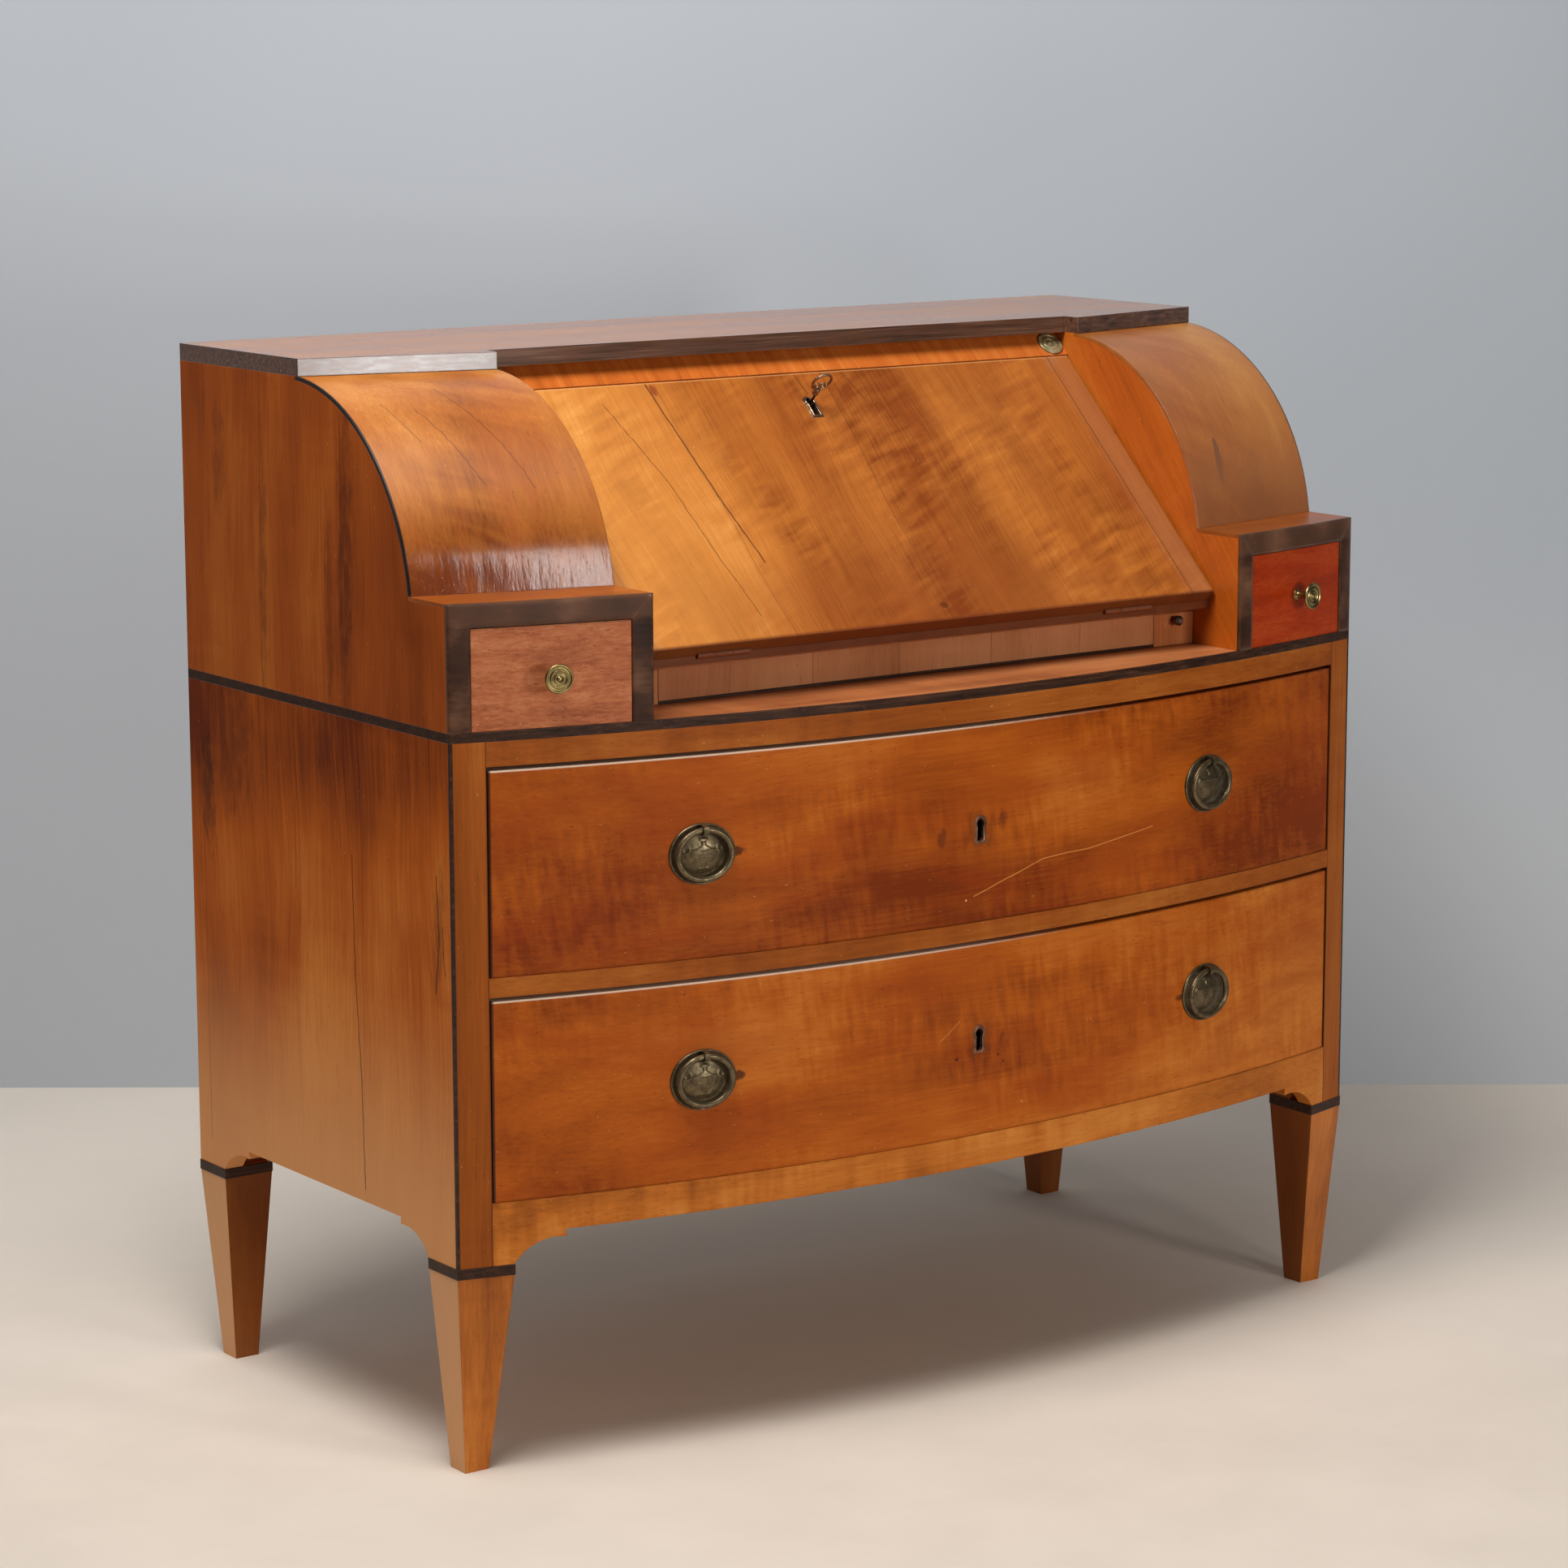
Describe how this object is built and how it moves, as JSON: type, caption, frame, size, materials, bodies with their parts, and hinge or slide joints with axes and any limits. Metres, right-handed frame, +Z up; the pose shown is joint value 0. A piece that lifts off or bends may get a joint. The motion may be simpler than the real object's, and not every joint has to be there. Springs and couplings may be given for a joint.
{
  "type": "slant-front writing desk",
  "caption": "Bow-fronted writing desk with a sloping fall between round-shouldered drawer boxes, long drawers with ring pulls below, ebonised edges and square tapered legs.",
  "frame": {"origin": "on the floor, midway between the sides and midway between the bow's crown and the back", "axes": "+X to the right seen from the front, +Y from the front to the back, +Z up"},
  "size_m": [1.2012, 0.6206, 1.1172],
  "materials": {
    "veneer": "french polished",
    "red_wood": "waxed",
    "ebonised": "ebonised, worn",
    "carcass_wood": "bare",
    "gilt_brass": "dull gilt",
    "aged_bronze": "dark patina",
    "iron": "dark, worn"
  },
  "bodies": {
    "case": {"lower_sides": "veneer", "lower_back": "carcass_wood", "front_stiles": "veneer", "top_rail": "veneer", "middle_rail": "veneer", "apron": "veneer", "shelf_board": "veneer", "ebonised_strings": "ebonised", "legs": "veneer", "drawer_runners": "carcass_wood", "upper_sides": "veneer", "cheeks": "veneer", "shoulders": "veneer", "box_tops": "veneer", "box_frames": "ebonised", "top_board": "veneer", "top_edge_bands": "ebonised", "upper_back": "carcass_wood", "writing_bed": "veneer", "frieze": "veneer", "loper_guides": "carcass_wood", "gallery_shelf": "carcass_wood", "gallery_dividers": "carcass_wood", "fall_rail": "veneer", "corner_plates": "gilt_brass", "bed_hinge_leaves": "iron"},
    "fall": {"fall_panel": "veneer", "fall_escutcheon": "aged_bronze", "fall_lock": "iron", "fall_hinge_leaves": "iron"},
    "fall_bolt": {"fall_bolt": "iron"},
    "key": {"key": "iron"},
    "upper_drawer": {"upper_drawer_front": "veneer", "upper_drawer_box": "carcass_wood", "upper_pull_plates": "aged_bronze", "upper_escutcheon": "aged_bronze", "upper_lock": "iron"},
    "upper_bolt": {"upper_bolt": "iron"},
    "upper_left_ring": {"upper_left_ring": "aged_bronze"},
    "upper_right_ring": {"upper_right_ring": "aged_bronze"},
    "lower_drawer": {"lower_drawer_front": "veneer", "lower_drawer_box": "carcass_wood", "lower_pull_plates": "aged_bronze", "lower_escutcheon": "aged_bronze", "lower_lock": "iron"},
    "lower_bolt": {"lower_bolt": "iron"},
    "lower_left_ring": {"lower_left_ring": "aged_bronze"},
    "lower_right_ring": {"lower_right_ring": "aged_bronze"},
    "left_drawer": {"left_drawer_front": "red_wood", "left_drawer_box": "carcass_wood", "left_knob": "gilt_brass"},
    "left_inner_drawer": {"left_inner_drawer": "red_wood"},
    "left_loper": {"left_loper": "veneer", "left_loper_knob": "iron"},
    "right_drawer": {"right_drawer_front": "red_wood", "right_drawer_box": "carcass_wood", "right_knob": "gilt_brass"},
    "right_inner_drawer": {"right_inner_drawer": "red_wood"},
    "right_loper": {"right_loper": "veneer", "right_loper_knob": "iron"}
  },
  "joints": [
    {"name": "fall_hinge", "type": "hinge", "parent": "case", "child": "fall", "pos_m": [0, -0.2245, 0.8184], "axis": [1, 0, 0], "range_deg": [0, 136.85]},
    {"name": "key_turn", "type": "hinge", "parent": "fall", "child": "key", "pos_m": [0, -0.00641, 1.04341], "axis": [0, -0.6839, 0.7296], "range_deg": [-90, 90]},
    {"name": "fall_bolt_slide", "type": "slide", "parent": "fall", "child": "fall_bolt", "axis": [0, 0.7296, 0.6839], "range_m": [-0.006, 0.006]},
    {"name": "upper_drawer_slide", "type": "slide", "parent": "case", "child": "upper_drawer", "axis": [0, -1, 0], "range_m": [0, 0.36]},
    {"name": "upper_bolt_slide", "type": "slide", "parent": "upper_drawer", "child": "upper_bolt", "axis": [0, 0, 1], "range_m": [0, 0.008]},
    {"name": "upper_left_ring_swing", "type": "hinge", "parent": "upper_drawer", "child": "upper_left_ring", "pos_m": [-0.33933, -0.29098, 0.6516], "axis": [-0.9877, 0.1565, 0], "range_deg": [0, 100]},
    {"name": "upper_right_ring_swing", "type": "hinge", "parent": "upper_drawer", "child": "upper_right_ring", "pos_m": [0.33933, -0.29098, 0.6516], "axis": [-0.9877, -0.1565, 0], "range_deg": [0, 100]},
    {"name": "lower_drawer_slide", "type": "slide", "parent": "case", "child": "lower_drawer", "axis": [0, -1, 0], "range_m": [0, 0.36]},
    {"name": "lower_bolt_slide", "type": "slide", "parent": "lower_drawer", "child": "lower_bolt", "axis": [0, 0, 1], "range_m": [0, 0.008]},
    {"name": "lower_left_ring_swing", "type": "hinge", "parent": "lower_drawer", "child": "lower_left_ring", "pos_m": [-0.33933, -0.29098, 0.4166], "axis": [-0.9877, 0.1565, 0], "range_deg": [0, 100]},
    {"name": "lower_right_ring_swing", "type": "hinge", "parent": "lower_drawer", "child": "lower_right_ring", "pos_m": [0.33933, -0.29098, 0.4166], "axis": [-0.9877, -0.1565, 0], "range_deg": [0, 100]},
    {"name": "left_drawer_slide", "type": "slide", "parent": "case", "child": "left_drawer", "axis": [0, -1, 0], "range_m": [0, 0.2]},
    {"name": "left_inner_drawer_slide", "type": "slide", "parent": "case", "child": "left_inner_drawer", "axis": [0, -1, 0], "range_m": [0, 0.12]},
    {"name": "left_loper_slide", "type": "slide", "parent": "case", "child": "left_loper", "axis": [0, -1, 0], "range_m": [0, 0.25]},
    {"name": "right_drawer_slide", "type": "slide", "parent": "case", "child": "right_drawer", "axis": [0, -1, 0], "range_m": [0, 0.2]},
    {"name": "right_inner_drawer_slide", "type": "slide", "parent": "case", "child": "right_inner_drawer", "axis": [0, -1, 0], "range_m": [0, 0.12]},
    {"name": "right_loper_slide", "type": "slide", "parent": "case", "child": "right_loper", "axis": [0, -1, 0], "range_m": [0, 0.25]}
  ],
  "couplings": [
    {"joint": "key_turn", "follows": "fall_bolt_slide", "rad_per_m": 261.79}
  ]
}
